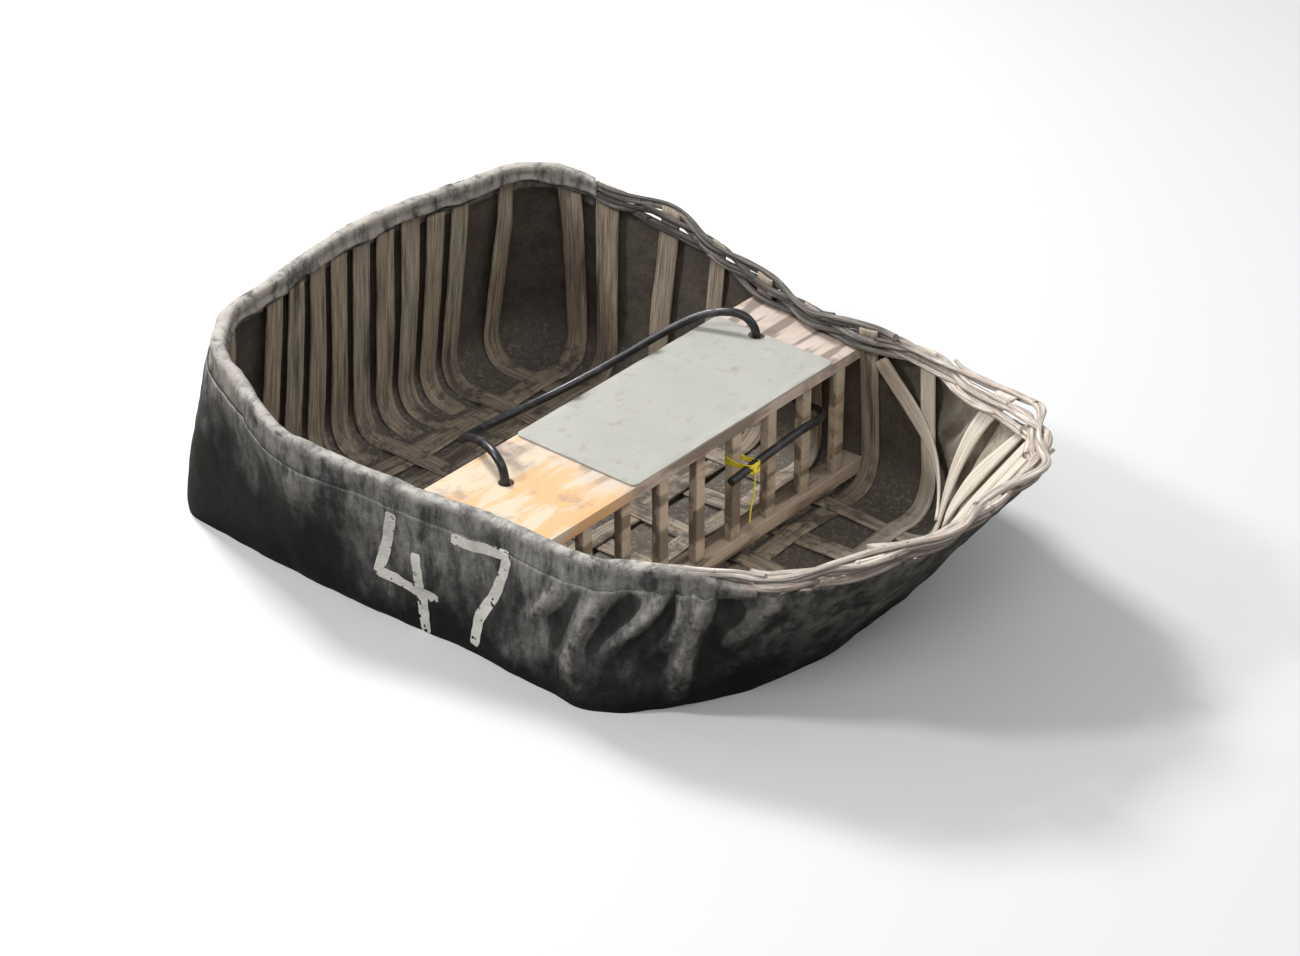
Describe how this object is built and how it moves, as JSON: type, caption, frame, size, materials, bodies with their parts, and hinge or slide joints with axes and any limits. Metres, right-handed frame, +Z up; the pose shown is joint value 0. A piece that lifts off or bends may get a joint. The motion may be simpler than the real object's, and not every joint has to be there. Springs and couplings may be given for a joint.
{
  "type": "coracle",
  "caption": "Small flat-floored river boat with a nipped waist: tarred cloth skin over a woven lath and withy frame, plank seat on slats and a carrying strap.",
  "frame": {"origin": "middle of the flat floor, at its lowest surface", "axes": "+X to the bow, +Y to port, +Z up"},
  "size_m": [1.4578, 1.0948, 0.476],
  "materials": {
    "tarred_calico": "bitumen-tarred calico, weathered grey",
    "folded_calico": "worn calico with thin tar",
    "cleft_lath": "bare cleft willow, weathered",
    "withy": "willow rods with bark, weathered",
    "seat_wood": "bare plank, worn",
    "seat_mat": "thin pale mat",
    "slat_wood": "bare sawn wood",
    "strap_rubber": "black hose, slight sheen",
    "yellow_twine": "plastic twine"
  },
  "bodies": {
    "root": {"skin": "tarred_calico", "long_lath_1": "cleft_lath", "long_lath_2": "cleft_lath", "long_lath_3": "cleft_lath", "long_lath_4": "cleft_lath", "long_lath_5": "cleft_lath", "long_lath_6": "cleft_lath", "long_lath_7": "cleft_lath", "cross_lath_1": "cleft_lath", "cross_lath_2": "cleft_lath", "cross_lath_3": "cleft_lath", "cross_lath_4": "cleft_lath", "cross_lath_5": "cleft_lath", "cross_lath_6": "cleft_lath", "cross_lath_7": "cleft_lath", "cross_lath_8": "cleft_lath", "cross_lath_9": "cleft_lath", "bow_lath_1": "cleft_lath", "bow_lath_2": "cleft_lath", "bow_lath_3": "cleft_lath", "bow_lath_4": "cleft_lath", "stern_lath_1": "cleft_lath", "stern_lath_2": "cleft_lath", "stern_lath_3": "cleft_lath", "stern_lath_4": "cleft_lath", "stern_brace_starboard": "cleft_lath", "stern_brace_port": "cleft_lath", "gunwale_rod_1": "withy", "gunwale_rod_2": "withy", "gunwale_rod_3": "withy", "gunwale_rod_4": "withy", "hem": "folded_calico", "seat_plank": "seat_wood", "seat_mat": "seat_mat", "seat_rail": "slat_wood", "seat_slat_1": "slat_wood", "seat_slat_2": "slat_wood", "seat_slat_3": "slat_wood", "seat_slat_4": "slat_wood", "seat_slat_5": "slat_wood", "seat_slat_6": "slat_wood", "seat_slat_7": "slat_wood", "seat_slat_8": "slat_wood", "seat_slat_9": "slat_wood", "carrying_strap": "strap_rubber", "twine_tie": "yellow_twine", "twine_tail": "yellow_twine"}
  },
  "joints": []
}
